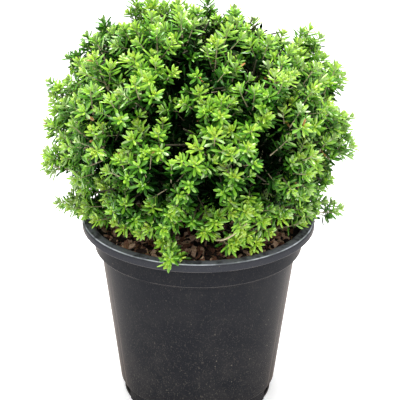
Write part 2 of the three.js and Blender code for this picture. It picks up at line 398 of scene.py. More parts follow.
# %% [markdown]
# Four low arches let water out under the pot. They could be cut with a Boolean. It is
# simpler to lift the foot's lowest points to the arch's own curve, and to merge those
# that then meet, which keeps every face a clean strip.

# %% Foot arches and floor
ARCH_COUNT = 4
ARCH_HALF_ANGLE = math.radians(26.5)
ARCH_HEIGHT = 15.6
ARCH_CORNER = 5


def arch_lift(turn):
    """Height of the arch over the ground at an angle round the pot."""
    step = 2 * math.pi / ARCH_COUNT
    apart = abs((turn + step / 2) % step - step / 2)
    inside = FOOT_RADIUS * (math.sin(ARCH_HALF_ANGLE) - math.sin(apart))
    if inside < 0:
        return 0
    share = min(inside / ARCH_CORNER, 1)
    return ARCH_HEIGHT - ARCH_CORNER * (1 - math.sqrt(share)) ** 2


for vert in pot.verts:
    if vert.co.z < ARCH_HEIGHT:
        vert.co.z = max(vert.co.z, arch_lift(math.atan2(vert.co.y, vert.co.x)))
bmesh.ops.remove_doubles(pot, verts=pot.verts, dist=0.01)
disc = bmesh.ops.create_cone(
    pot, cap_ends=True, segments=POT_STEPS // 2, depth=FLOOR_THICKNESS,
    radius1=FOOT_RADIUS - POT_WALL / 2, radius2=FOOT_RADIUS - POT_WALL / 2,
)
bmesh.ops.translate(pot, verts=disc["verts"], vec=(0, 0, FLOOR_THICKNESS / 2))
print("highest arch edge:", round(arch_lift(0), 1), "mm")

# %% [markdown]
# The plastic is charcoal with a satin skin. Handling has left dull clouds and fine
# scratches, and dried soil has left tan specks. Clouds are a soft noise, scratches the
# peaks of a stretched noise, and specks the hearts of small cells. All three grow
# fainter upwards.

# %% Pot plastic
CHARCOAL = paint(35, 36, 40)
SCUFFED = paint(51, 50, 51)
DUST = paint(146, 138, 124)
# Painted light: the rim is a lighter grey than the collar below it, which lies in its shade.
RIM_LIT_GREY = paint(57, 58, 63)
# Painted sheen: a lighter grey in blots on the rim's top face, as if it caught the light.
PAINTED_RIM_SHEEN = paint(100, 102, 109)
# Painted highlight along the lower edges, where they would catch light from the floor.
EDGE_GLINT = paint(134, 129, 126)
# Painted highlight: a bright bluish line round the rim's rounded outer edge, where the lamps would
# glint.
PAINTED_RIM_HIGHLIGHT = paint(226, 230, 242)
RIM_HIGHLIGHT_RADIUS = 123.7
RIM_HIGHLIGHT_HALF_WIDTH = 0.85
EDGE_GLINT_WIDTH = 0.8
# Each set of scratches has its lean from the upright in radians, and its width in mm.
SCRATCHES = [(0.5, 0.8), (-0.8, 0.9), (1.4, 0.7), (0.05, 1)]
SCRATCH_STRETCH = 0.22

pot_finish = Finish(
    "pot_plastic", Base_Color=CHARCOAL, Specular_IOR_Level=0.02, Sheen_Weight=0.22,
    Sheen_Tint=paint(255, 212, 178), Sheen_Roughness=0.25,
)
clouds = pot_finish.noise(34, detail=5, roughness=0.62)
blots = pot_finish.noise(7, detail=3)
grain = pot_finish.noise(1.1, detail=2)
on_piece = {"Vector": pot_finish.place()}
pot_level = pot_finish.add("ShaderNodeSeparateXYZ", values=on_piece, output="Z")
flat_place = {0: pot_finish.place((1, 1, 0))}
off_axis = pot_finish.add("ShaderNodeVectorMath", {"operation": "LENGTH"}, flat_place, "Value")
towards_foot = 1 - pot_level.smooth(0, 0.17)


def fibres(tilt, size):
    """A mask of short hairline marks that lean by an angle from the upright."""
    values = {"Vector": pot_finish.place(), "Angle": tilt}
    turned = pot_finish.add("ShaderNodeVectorRotate", {"rotation_type": "Y_AXIS"}, values)
    values = {"Vector": turned, "Scale": (1, 1, SCRATCH_STRETCH)}
    drawn = pot_finish.add("ShaderNodeMapping", values=values)
    values = {"Vector": drawn, "Scale": 1 / (size * MM), "Detail": 2}
    return pot_finish.add("ShaderNodeTexNoise", values=values).smooth(0.665, 0.7)


def above(level, blend):
    """A mask that rises from 0 to 1 past a height, all in millimetres."""
    return pot_level.smooth((level - blend) * MM, (level + blend) * MM)


def apart_from(value, level):
    """How far a value in metres lies from a level in millimetres."""
    apart = value - level * MM
    return apart.math("ABSOLUTE", apart)


def edge_glint_mask(level):
    """A mask of a thin painted highlight along an edge at a height in millimetres."""
    return 1 - apart_from(pot_level, level).smooth(0.3 * EDGE_GLINT_WIDTH * MM, EDGE_GLINT_WIDTH * MM)


marks = sum(fibres(tilt, size) for tilt, size in SCRATCHES)
fine_dust = pot_finish.specks(2.6, 0.19, 0.3)
coarse_dust = pot_finish.specks(9, 0.075, 0.4)
dust = (marks * 0.3 + fine_dust * 0.2 + coarse_dust * 0.75) * (0.3 + 0.6 * towards_foot)
film = clouds.smooth(0.38, 0.72) * (0.3 + 0.5 * towards_foot)
# The rim's top face carries a blotchy painted sheen.
rim_top_sheen = above(POT_HEIGHT - 0.3, 0.4) * blots.smooth(0.3, 0.54) * 0.95
# From the foot of its skirt up, the rim is painted lighter than the shaded collar.
rim_lit_mask = above(skirt_foot, 0.4)
# The painted highlight line near the rim's outer edge, broken up by the clouds.
off_highlight_line = apart_from(off_axis, RIM_HIGHLIGHT_RADIUS)
rim_highlight = 1 - off_highlight_line.smooth(0.15 * MM, RIM_HIGHLIGHT_HALF_WIDTH * MM)
rim_highlight = rim_highlight * above(POT_HEIGHT - 2, 0.5) * (clouds.smooth(0.38, 0.6) * 0.85 + 0.15)
# Thin painted highlights along the lower edges of the collar, the rim and the foot band.
edge_glints = sum(edge_glint_mask(level) for level in (COLLAR_FOOT, skirt_foot, FOOT_BAND_HEIGHT))
edge_glints = edge_glints * clouds.smooth(0.3, 0.5)
scuffed = pot_finish.mix(rim_lit_mask, pot_finish.mix(film, CHARCOAL, SCUFFED), RIM_LIT_GREY)
with_edge_glints = pot_finish.mix(edge_glints * 0.5, scuffed, EDGE_GLINT)
with_painted_light = pot_finish.mix(rim_highlight, pot_finish.mix(rim_top_sheen, with_edge_glints, PAINTED_RIM_SHEEN), PAINTED_RIM_HIGHLIGHT)
pot_finish.feed("Base Color", pot_finish.mix(dust, with_painted_light, DUST))
pot_finish.feed("Roughness", 0.34 + 0.14 * clouds + 0.3 * dust)
pot_finish.bump(grain * 0.4 + clouds * 0.6 + dust, 0.1)
piece_from_bmesh("pot_moulding", pot, pot_finish, ["pot"])

# %% [markdown]
# The pot is filled with composted bark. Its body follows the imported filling, a hair
# clear of the wall, with a rougher top. Loose chips lie on it: a few slab shapes are
# knocked out of true and scattered many times in one joined mesh for each tint.

# %% Potting mix
SOIL_GAP = 0.35
SOIL_LEVEL = 195
SOIL_RISE = 2
SOIL_LUMP = 1.6
SOIL_STAND_RADIUS = 24
SOIL_STAND_BLEND = 20
SOIL_STEPS = 160
SOIL_RINGS = 40
CRUMB_SIZE = 4.5
CRUMB_HEIGHT = 1.1
brim = COLLAR_RADIUS - POT_WALL - SOIL_GAP


def soil_top(x, y):
    """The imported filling's own lumpy top, flat where the trunk stands."""
    out = math.hypot(x, y)
    lumps = math.sin(x / 6.1 + 1) * math.cos(y / 5.3) + math.sin((x + 2 * y) / 9)
    share = min(max((out - SOIL_STAND_RADIUS) / SOIL_STAND_BLEND, 0), 1)
    return SOIL_LEVEL + SOIL_RISE * (1 - share) + share * SOIL_LUMP * lumps


soil_shelf = shelf + SOIL_GAP
soil_section = [
    Vector((0, 0, FLOOR_THICKNESS + SOIL_GAP)),
    Vector((FOOT_RADIUS - POT_WALL - 2 * SOIL_GAP, 0, FLOOR_THICKNESS + SOIL_GAP)),
    Vector((inner_wall_radius(soil_shelf) - SOIL_GAP, 0, soil_shelf)),
    Vector((brim, 0, soil_shelf)),
]
for ring in range(SOIL_RINGS + 1):
    soil_section.append(Vector((brim * (1 - ring / SOIL_RINGS), 0, SOIL_LEVEL)))
soil = spun(soil_section, SOIL_STEPS, closed=False)
for vert in soil.verts:
    if vert.co.z > SOIL_LEVEL - 1:
        crumbs = noise.fractal(vert.co / CRUMB_SIZE, 1, 2, 3) * CRUMB_HEIGHT
        vert.co.z = soil_top(vert.co.x, vert.co.y) + crumbs
soil_finish = Finish("potting_mix", Roughness=0.95)
damp = soil_finish.noise(9, detail=5)
fibre = soil_finish.noise(1.6, detail=4, roughness=0.7)
soil_brown = soil_finish.mix(damp.smooth(0.35, 0.65), paint(14, 9, 7), paint(30, 20, 14))
soil_brown = soil_finish.mix(fibre.smooth(0.5, 0.75), soil_brown, paint(58, 40, 28))
soil_finish.feed("Base Color", soil_brown)
soil_finish.bump(fibre + damp, 1.2)
piece_from_bmesh("potting_mix_body", soil, soil_finish, ["potting_soil"], 75)

# %% Bark chips
CHIP_COUNT = 1600
CHIP_LENGTH = (4, 10.5)
CHIP_WIDTH = 0.5
CHIP_THICKNESS = 0.24
CHIP_TILT = 0.75
CHIP_PINCH = 0.45
CHIP_KNOCKS = (0.16, 0.24, 0.3)
CHIP_SHAPES = 5
CHIP_LIFT = 3
TRUNK_CLEAR = 17
CHIP_SEED = 41
CHIP_TINTS = [
    ("dark", 0.4, paint(32, 21, 15), paint(58, 39, 28)),
    ("red", 0.3, paint(110, 73, 54), paint(158, 114, 90)),
    ("tan", 0.3, paint(196, 154, 126), paint(232, 198, 172)),
]


def chip_shape(seed):
    """A slab of bark with broken corners, about one unit long."""
    knock_x, knock_y, knock_z = CHIP_KNOCKS
    shape = bmesh.new()
    bmesh.ops.create_cube(shape, size=1)
    bmesh.ops.subdivide_edges(shape, edges=shape.edges, cuts=1, use_grid_fill=True)
    for vert in shape.verts:
        offset = noise.noise_vector(vert.co * 2.3 + Vector((seed * 7.1, 0, 0)))
        pinch = 1 - CHIP_PINCH * abs(vert.co.x)
        vert.co.y = (vert.co.y * pinch + knock_y * offset.y) * CHIP_WIDTH
        vert.co.z = (vert.co.z * pinch + knock_z * offset.z) * CHIP_THICKNESS
        vert.co.x += knock_x * offset.x
    bmesh.ops.triangulate(shape, faces=shape.faces)
    bmesh.ops.recalc_face_normals(shape, faces=shape.faces)
    points = np.array([vert.co for vert in shape.verts])
    triangles = np.array([[vert.index for vert in face.verts] for face in shape.faces])
    shape.free()
    return points, triangles


def scatter_chips(name, count, finish, random):
    """Lays chips of several shapes over the mix and joins them."""
    shapes = [chip_shape(seed) for seed in range(CHIP_SHAPES)]
    chips = []
    for _ in range(count):
        out = TRUNK_CLEAR + (brim - 5 - TRUNK_CLEAR) * math.sqrt(random.random())
        turn = random.uniform(0, 2 * math.pi)
        x, y = out * math.cos(turn), out * math.sin(turn)
        points, triangles = shapes[random.integers(CHIP_SHAPES)]
        yaw = Matrix.Rotation(random.uniform(0, 2 * math.pi), 3, "Z")
        pitch = Matrix.Rotation(random.normal(0, CHIP_TILT), 3, "Y")
        roll = Matrix.Rotation(random.normal(0, CHIP_TILT), 3, "X")
        length = random.uniform(*CHIP_LENGTH)
        place = np.array([x, y, soil_top(x, y) + CHIP_LIFT * random.random()])
        chips.append((points * length @ np.array(yaw @ pitch @ roll).T + place, triangles))
    nodes = ["potting_soil"]
    piece_from_arrays(name, joined(chips), [finish], nodes, smooth_below=20)


# The noise that knocks the slabs starts from a seed too, so that each run gives the same chips.
noise.seed_set(CHIP_SEED)
chip_random = np.random.default_rng(CHIP_SEED)
for tint, share, dark_bark, pale_bark in CHIP_TINTS:
    chip_finish = Finish("bark_chip_" + tint, Roughness=0.9)
    streak = chip_finish.noise(2.4, detail=4, roughness=0.65)
    chip_finish.feed("Base Color", chip_finish.mix(streak.smooth(0.35, 0.68), dark_bark, pale_bark))
    chip_finish.bump(streak, 0.5)
    scatter_chips("bark_chips_" + tint, int(CHIP_COUNT * share), chip_finish, chip_random)

# %% [markdown]
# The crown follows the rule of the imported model. Fifteen directions wind down a golden
# spiral, each mass keeps to the space nearest its own direction, and its reach sinks
# into a valley towards its neighbours. The rule is written again here, because the twigs
# and leaves have to fill the same spaces.

# %% Crown rule
CROWN_HEIGHT = 320
CROWN_RADIUS = 175
CROWN_HALF_HEIGHT = 138
MASS_COUNT = len(foliage_nodes)
FIRST_MASS_HEIGHT = 0.98
LAST_MASS_HEIGHT = -0.56
CROWN_TURN = math.radians(257)
VALLEY_DEPTH = 0.06
VALLEY_ANGLE = 0.45
LOWER_FULLNESS = 3
SKIRT_HEIGHT = 212
CORE_MIDDLE = 0.6
crown_centre = np.array([0, 0, CROWN_HEIGHT])
crown_axes = np.array([CROWN_RADIUS, CROWN_RADIUS, CROWN_HALF_HEIGHT])


def unit_of(vectors):
    """Vectors scaled to a length of one."""
    return vectors / np.linalg.norm(vectors, axis=-1, keepdims=True)


def spiral(heights, turns):
    """Directions at the given heights and turns on the unit ball."""
    out = np.sqrt(1 - heights**2)
    return np.stack([out * np.cos(turns), out * np.sin(turns), heights], axis=1)


directions = spiral(
    np.linspace(FIRST_MASS_HEIGHT, LAST_MASS_HEIGHT, MASS_COUNT),
    CROWN_TURN + np.arange(MASS_COUNT) * GOLDEN_ANGLE,
)


def reach(ways):
    """How far the crown reaches along unit directions, as a share of its axes."""
    power = np.where(ways[:, 2] < 0, LOWER_FULLNESS, 2)
    out = np.hypot(ways[:, 0], ways[:, 1])
    crown = (out**power + np.abs(ways[:, 2]) ** power) ** (-1 / power)
    angle = np.arccos(np.clip((ways @ directions.T).max(axis=1), -1, 1))
    valley = VALLEY_DEPTH * (angle / VALLEY_ANGLE) ** 2
    skirt = (SKIRT_HEIGHT - CROWN_HEIGHT) / (CROWN_HALF_HEIGHT * np.minimum(ways[:, 2], -0.01))
    return np.minimum(crown * (1 - valley), skirt)


print("top of the crown at", round(float(CROWN_HEIGHT + CROWN_HALF_HEIGHT)), "mm")

# %% [markdown]
# Trunk and boughs are swept limbs. A curve with a round profile would be quick, but its
# surface could not carry ribs at the root. Each limb starts as a circle, which is
# extruded, moved and turned step by step along its path, and noise gives the bark relief.

# %% Limb helpers


def bezier(controls, share):
    """A point on a Bezier curve, by repeated blending of its control points."""
    points = [Vector(point) for point in controls]
    while len(points) > 1:
        points = [first.lerp(second, share) for first, second in zip(points, points[1:])]
    return points[0]


def frame_at(controls, share):
    """The curve's place and heading as a matrix whose Z axis runs along the curve."""
    step = 0.01
    heading = bezier(controls, min(share + step, 1)) - bezier(controls, max(share - step, 0))
    turn = heading.to_track_quat("Z", "Y").to_matrix().to_4x4()
    return Matrix.Translation(bezier(controls, share)) @ turn


def add_limb(shape, controls, radii, sides, steps):
    """Sweeps a closed limb along a Bezier curve, from the first radius to the last."""
    first_radius, last_radius = radii
    ring = bmesh.ops.create_circle(shape, cap_ends=True, radius=1, segments=sides)["verts"]
    place = frame_at(controls, 0) @ Matrix.Scale(first_radius, 4)
    bmesh.ops.transform(shape, matrix=place, verts=ring)
    edges = list({edge for vert in ring for edge in vert.link_edges})
    for step in range(1, steps + 1):
        share = step / steps
        made = bmesh.ops.extrude_edge_only(shape, edges=edges)["geom"]
        ring = [item for item in made if isinstance(item, bmesh.types.BMVert)]
        edges = [item for item in made if isinstance(item, bmesh.types.BMEdge)]
        edges = [edge for edge in edges if all(vert in ring for vert in edge.verts)]
        radius = first_radius + (last_radius - first_radius) * share
        following = frame_at(controls, share) @ Matrix.Scale(radius, 4)
        bmesh.ops.transform(shape, matrix=following @ place.inverted(), verts=ring)
        place = following
    bmesh.ops.holes_fill(shape, edges=edges, sides=0)


def add_relief(shape, size, depth, length=4):
    """Pushes the surface in and out in long ridges, as bark is."""
    shape.normal_update()
    for vert in shape.verts:
        point = Vector((vert.co.x, vert.co.y, vert.co.z / length)) / size
        vert.co += vert.normal * depth * noise.fractal(point, 1, 2, 4)


# %% Trunk and boughs
TRUNK_FOOT = SOIL_LEVEL + SOIL_RISE + 0.3
TRUNK_TOP = 275
TRUNK_LEAN = 5
TRUNK_RADII = (9, 6.5)
TRUNK_SIDES = 60
TRUNK_STEPS = 44
ROOT_FLARE = 5
ROOT_FLARE_FADE = 7
ROOT_RIBS = 5
BOUGH_RADII = (2.8, 2)
BOUGH_SIDES = 14
BOUGH_STEPS = 30
BOUGH_LOWEST = 213
BOUGH_HIGHEST = 272
BOUGH_REACH = 0.38
BOUGH_LEAD = 0.3
BOUGH_OFF_AXIS = 2.5

trunk_controls = [
    (0, 0, TRUNK_FOOT),
    (0, 0, (TRUNK_FOOT + TRUNK_TOP) / 2),
    (TRUNK_LEAN, -TRUNK_LEAN * 0.4, TRUNK_TOP),
]


def bough_controls(i):
    """Bough i leaves the trunk at a slant and curves up to where it enters its mass."""
    height = np.interp(i, [0, MASS_COUNT - 1], [BOUGH_HIGHEST, BOUGH_LOWEST])
    along = (height - TRUNK_FOOT) / (TRUNK_TOP - TRUNK_FOOT)
    tip = Vector(crown_centre + directions[i] * BOUGH_REACH * crown_axes)
    outward = Vector(directions[i] * crown_axes).normalized()
    sideways = Vector((tip.x, tip.y, 0))
    root = bezier(trunk_controls, along) + sideways.normalized() * BOUGH_OFF_AXIS
    lead = BOUGH_LEAD * (tip - root).length
    knee = root + Vector((0, 0, lead)) + sideways.normalized() * min(lead, 0.8 * sideways.length)
    return [root, knee, tip - outward * lead, tip]


bark_finish = Finish("bark", Roughness=0.88)
plates = bark_finish.noise(3, detail=5, stretch=(1, 1, 0.25), roughness=0.65)
lichen = bark_finish.noise(14, detail=3)
bark_brown = bark_finish.mix(plates.smooth(0.3, 0.7), paint(78, 62, 46), paint(150, 132, 106))
patches = lichen.smooth(0.55, 0.8) * 0.5
bark_finish.feed("Base Color", bark_finish.mix(patches, bark_brown, paint(150, 146, 120)))
bark_finish.bump(plates, 0.8)

trunk = bmesh.new()
add_limb(trunk, trunk_controls, TRUNK_RADII, TRUNK_SIDES, TRUNK_STEPS)
for vert in trunk.verts:
    share = (vert.co.z - TRUNK_FOOT) / (TRUNK_TOP - TRUNK_FOOT)
    ribs = 1 + 0.35 * math.cos(ROOT_RIBS * math.atan2(vert.co.y, vert.co.x))
    flare = ROOT_FLARE * math.exp(-ROOT_FLARE_FADE * share) * ribs
    vert.co += Vector((vert.co.x, vert.co.y, 0)).normalized() * flare
add_relief(trunk, 3, 0.9)
piece_from_bmesh("trunk_bark", trunk, bark_finish, ["trunk"], 70)

boughs = bmesh.new()
for i in range(MASS_COUNT):
    add_limb(boughs, bough_controls(i), BOUGH_RADII, BOUGH_SIDES, BOUGH_STEPS)
add_relief(boughs, 2.2, 0.35)
piece_from_bmesh("bough_bark", boughs, bark_finish, bough_nodes, 70)

# %% [markdown]
# Inside each mass a stem runs on from the bough, and first twigs fan out from it by the
# golden angle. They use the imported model's own seeded numbers, so that they lie where
# its twigs lie. The feet of the fine shoots run back to them.

# %% First twigs
HOLLOW_SHARE = 0.45
LIMB_CONE_RADIUS = 16
LIMB_CONE_SLOPE = 0.74
MASS_GAP = 0.9
LIMB_GAP = 0.3
TWIGS_PER_MASS = 15
TWIG_SPREAD = 0.78
LEAF_ROOM = 33


def seeded(seed):
    """Numbers from 0 to 1 that look random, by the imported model's own rule."""
    state = seed
    while True:
        state = (state * 1664525 + 1013904223) % 2**32
        yield state / 2**32


def in_space(point, i, gap):
    """True if a point, measured from the crown's centre, lies in mass i's own space."""
    scaled = point / crown_axes
    share = np.linalg.norm(scaled)
    level = point[2] + CROWN_HEIGHT
    out = math.hypot(point[0], point[1])
    if share < HOLLOW_SHARE or level < SKIRT_HEIGHT:
        return False
    cone = LIMB_CONE_RADIUS + LIMB_CONE_SLOPE * (level - BOUGH_LOWEST)
    if level <= CROWN_HEIGHT and out <= cone:
        return False
    if share > reach(scaled[None] / share)[0]:
        return False
    apart = np.delete(directions[i] - directions, i, axis=0)
    return bool((apart @ scaled >= gap * np.linalg.norm(apart / crown_axes, axis=1)).all())


def first_twigs(i):
    """Mass i's middle, where its stem ends, and the ends of its first twigs."""
    numbers = seeded(1000 + 77 * i)
    middle = directions[i] * CORE_MIDDLE * crown_axes
    across = unit_of(np.cross(directions[i], (0.3, 0.2, 1)))
    third = np.cross(directions[i], across)
    ends = []
    for k in range(TWIGS_PER_MASS):
        spread = TWIG_SPREAD * math.sqrt((k + 0.4) / TWIGS_PER_MASS)
        turn = k * GOLDEN_ANGLE + 0.5 * (next(numbers) - 0.5)
        way = directions[i] * math.cos(spread)
        way = way + across * math.sin(spread) * math.cos(turn)
        way = way + third * math.sin(spread) * math.sin(turn)
        outermost = way * (reach(way[None])[0] - 0.02 * next(numbers)) * crown_axes
        end = outermost - unit_of(outermost - middle) * LEAF_ROOM
        if in_space(end, i, 3 * MASS_GAP):
            next(numbers)
            ends.append(end)
    return middle, ends


stem_from = directions * BOUGH_REACH * crown_axes
stem_from = stem_from + unit_of(stem_from) * LIMB_GAP
stem_to = []
twig_from = []
twig_to = []
for i in range(MASS_COUNT):
    middle, ends = first_twigs(i)
    stem_to.append(middle)
    twig_from += [middle] * len(ends)
    twig_to += ends
stem_to = np.array(stem_to)
twig_from = np.array(twig_from)
twig_to = np.array(twig_to)
print(len(twig_to), "first twigs leave", len(stem_to), "stems")

# %% [markdown]
# Shoots stand in sprays. Each spray has a leader, with two rings of side shoots round it
# that stand lower and lean out, so it is a small dome with a dark valley to the next one.
# Evenly spread sprays would give a clipped ball. So some sprays stay sunk, hollows are
# left open, and each keeps inside an outline with its own notches. Single sprigs stand
# out at that outline, and more hang low over the rim. The outline follows the picture,
# and so do the places of the front's brightest lobes, hollows and low sprigs.

# %% Sprays
SPRAY_COUNT = 170
SPRAY_SHARE = 0.865
SPRAY_SPREAD = 0.03
SPRAY_SHAKE = 0.05
SUNK_CHANCE = 0.08
SUNK_DEPTH = 0.13
UP_LEAN = 0.82
SIDE_JITTER = 0.2
LEAF_OVERHANG = 0.045
HOLLOW_ANGLE = 0.085
FREE_HOLLOWS = 60
FREE_HOLLOWS_FROM = -0.3
HOLLOW_SHAKE = 0.12
HOLLOW_EDGE = 1.8
LOBE_SHARE = 0.9
LOBE_CLEAR = 0.15
FRONT_CLEAR = 248
OVERHANG_RADIUS = 132
LOW_LIFT = 0.2
LOW_SHAKE = 0.15
# The outline's reach: an angle round the crown's middle in degrees, then a share of its axes.
OUTLINE = np.array([
    (-45, 1.09), (-39, 1.07), (-35, 0.97), (-30, 0.95), (-20, 0.83), (-15, 1), (-10, 0.87),
    (0, 0.96), (5, 0.84), (10, 0.85), (15, 0.8), (20, 0.95), (25, 0.94), (30, 0.9), (36, 0.94),
    (41, 0.99), (45, 0.96), (50, 0.85), (54, 0.69), (60, 0.75), (65, 0.79), (70, 0.72),
    (75, 0.85), (80, 0.79), (85, 0.88), (90, 0.8), (100, 0.89), (105, 0.95), (110, 0.94),
    (115, 0.97), (119, 0.81), (125, 0.71), (130, 0.95), (135, 0.91), (140, 0.94), (145, 0.68),
    (150, 0.94), (155, 0.92), (160, 0.75), (165, 0.96), (170, 0.85), (180, 0.95), (185, 0.95),
    (190, 0.84), (195, 0.98), (204, 1.02), (210, 0.71), (215, 1.09), (225, 1.03),
])
OUTLINE_ROOM = 0.02
# Sprigs at the outline, given in the same way.
SPRIGS = np.array([
    (130, 0.95), (139, 0.94), (152, 0.94), (165, 0.97), (174, 0.93), (184, 0.95), (197, 0.99),
    (202, 1.02), (114.5, 0.98), (110, 0.94), (104.5, 0.89), (99, 0.89), (87, 0.89), (75, 0.86),
    (65, 0.82), (44, 0.97), (39, 0.98), (30, 0.91), (24, 0.95), (19, 0.95), (0, 0.95), (-5, 0.93),
    (-13, 0.98), (-30, 0.94), (-36, 0.94),
])
# Lobes: a turn round the pot in degrees and a height on the unit ball.
BRIGHT_LOBES = np.array([
    (-158, 0.94), (-153, 0.66), (177, 0.49), (-120, 0.59), (-90, 0.59), (-17, 0.73), (-52, 0.59),
    (-46, 0.37), (-25, 0.29), (-69, 0.29), (-107, 0.26), (-132, 0.21), (-84, 0.28), (-112, 0.01),
    (-77, -0.06), (-45, -0.18), (-120, -0.38), (-101, -0.42), (-70, -0.44), (-130, 0.74),
    (-116, 0.75), (-117, 0.2), (-120, 0.03), (-128, 0.45), (-80, 0.53), (-72, 0.17),
])
# Hollows: turn and height as for the lobes, and an angular radius in radians.
FRONT_HOLLOWS = np.array([
    (-96, 0.82, 0.07), (-86, 0.75, 0.1), (-75, 0.78, 0.08), (-103, 0.62, 0.07), (-112, 0.69, 0.04),
    (-96, 0.4, 0.1), (-90, 0.37, 0.07), (-99, 0.29, 0.07), (-113, 0.31, 0.06), (-108, -0.03, 0.085),
    (-112, -0.18, 0.13), (-103, -0.18, 0.12), (-122, -0.2, 0.1), (-136, 0, 0.08), (-130, 0.33, 0.06),
    (-81, -0.21, 0.07), (-91, -0.34, 0.1), (-85, -0.31, 0.1), (-91, -0.52, 0.075), (-65, -0.2, 0.13),
    (-56, -0.44, 0.1), (-53, 0.19, 0.05), (-54, 0.04, 0.07), (-55, -0.1, 0.09), (-84, 0.15, 0.05),
    (-69, -0.01, 0.07), (-7, 0.83, 0.085), (-62, 0.63, 0.05), (-134, -0.28, 0.08), (-142, 0.3, 0.05),
    (-128, -0.52, 0.09), (-112, -0.52, 0.09), (-60, 0.52, 0.05), (-60, 0.22, 0.07), (-59, 0.08, 0.08),
    (-63, -0.05, 0.09), (-52, 0.32, 0.05), (-57, 0.72, 0.05), (-138, 0.01, 0.08), (-147, -0.21, 0.06),
    (-138, -0.33, 0.08), (-84, 0.78, 0.09), (-105, -0.16, 0.1), (-55, -0.15, 0.08),
    (-40, 0.2, 0.07), (-44, 0.42, 0.05), (-64, 0.08, 0.07), (-124, -0.35, 0.07),
])
# Low sprigs: a turn in degrees, the way out from the pot's axis, and the height over the floor.
LOW_SPRIGS = np.array([
    (-87, 118, 239), (-74, 121, 224), (-71, 119, 229), (-75, 128, 262), (-69, 124, 250),
    (-66, 128, 260), (-59, 126, 247), (-53, 120, 230), (-60, 120, 222), (-48, 128, 246),
    (-65, 118, 230), (-102, 137, 218), (-104, 124, 252), (-114, 122, 241), (-119, 121, 232),
    (-130, 121, 231), (-122, 124, 247), (-134, 122, 236), (-134, 128, 257), (-100, 127, 265),
    (-108, 118, 225), (-93, 124, 253), (-82, 124, 251), (-176, 150, 224), (-171, 137, 222),
    (-165, 126, 221), (-174, 134, 225), (-152, 121, 224), (-2, 151, 217), (-12, 126, 221),
    (-4, 134, 226), (-27, 121, 222),
])
# Low sprigs in the shade, given in the same way.
SHADED_SPRIGS = np.array([
    (-170, 121, 229), (-172, 126, 241), (-170, 129, 252), (-164, 122, 219), (-160, 124, 233),
    (-10, 124, 230), (-14, 126, 243), (-18, 122, 221), (-24, 124, 236),
])
random = np.random.default_rng(2024)
outline_up = unit_of(np.array([
    0, math.cos(CAMERA_PITCH) / CROWN_HALF_HEIGHT, math.sin(CAMERA_PITCH) / CROWN_RADIUS,
]))


def outline_way(degrees):
    """Unit directions at angles round the crown's outline, as the camera sees it."""
    turn = np.radians(degrees)
    return np.cos(turn)[:, None] * np.array([1, 0, 0]) + np.sin(turn)[:, None] * outline_up


def past_outline(points):
    """How far points stand out past the outline, as a share of the crown's axes."""
    scaled = points / crown_axes
    beside, above = scaled[:, 0], scaled @ outline_up
    turn = np.degrees(np.arctan2(above, beside))
    turn = np.where(turn < -90, turn + 360, turn)
    return np.hypot(beside, above) - np.interp(turn, OUTLINE[:, 0], OUTLINE[:, 1])


def even_ways(count, turn_start, shake):
    """Directions spread evenly over the crown and shaken out of line."""
    order = np.arange(count) + 0.5
    ways = spiral(1 - 2 * order / count, turn_start + order * GOLDEN_ANGLE)
    return unit_of(ways + random.normal(0, shake, ways.shape))


def headings_at(points):
    """Headings square to the crown's surface, lifted towards the light and shaken."""
    jitter = random.normal(0, SIDE_JITTER, points.shape)
    return unit_of(unit_of(points / crown_axes**2) + (0, 0, UP_LEAN) + jitter)


def angles_to(ways, others):
    """Angles between every direction and every one of the others."""
    return np.arccos(np.clip(ways @ others.T, -1, 1))


def ways_of(table):
    """Unit directions from rows that begin with a turn in degrees and a height."""
    return spiral(table[:, 1], np.radians(table[:, 0]))


lobe_ways = ways_of(BRIGHT_LOBES)
hollow_ways = even_ways(FREE_HOLLOWS, 1, HOLLOW_SHAKE)
hollow_ways = hollow_ways[hollow_ways[:, 1] > FREE_HOLLOWS_FROM]
hollow_sizes = np.concatenate([FRONT_HOLLOWS[:, 2], np.full(len(hollow_ways), HOLLOW_ANGLE)])
hollow_ways = np.concatenate([ways_of(FRONT_HOLLOWS), hollow_ways])
ways = even_ways(SPRAY_COUNT, 0, SPRAY_SHAKE)
ways = np.concatenate([ways[angles_to(ways, lobe_ways).min(axis=1) > LOBE_CLEAR], lobe_ways])
sprays = len(ways)
lobe = np.arange(sprays) >= sprays - len(lobe_ways)
sunk = (random.random(sprays) < SUNK_CHANCE) & ~lobe
share = np.where(lobe, LOBE_SHARE, SPRAY_SHARE) + random.normal(0, SPRAY_SPREAD, sprays)
share = share - SUNK_DEPTH * sunk
too_far = past_outline(ways * share[:, None] * crown_axes) + LEAF_OVERHANG + OUTLINE_ROOM
share = share - np.maximum(too_far, 0)
spray_tips = ways * (np.minimum(reach(ways), 1) * share)[:, None] * crown_axes
sprig_tips = outline_way(SPRIGS[:, 0]) * (SPRIGS[:, 1:] - LEAF_OVERHANG) * crown_axes

low_sprigs = np.concatenate([LOW_SPRIGS, SHADED_SPRIGS])
low_ways = spiral(np.zeros(len(low_sprigs)), np.radians(low_sprigs[:, 0]))
low_tips = low_ways * low_sprigs[:, 1:2]
low_tips[:, 2] = low_sprigs[:, 2] - CROWN_HEIGHT
low_shake = random.normal(0, LOW_SHAKE, low_ways.shape)
low_headings = unit_of(low_ways + (0, 0, LOW_LIFT) + low_shake)

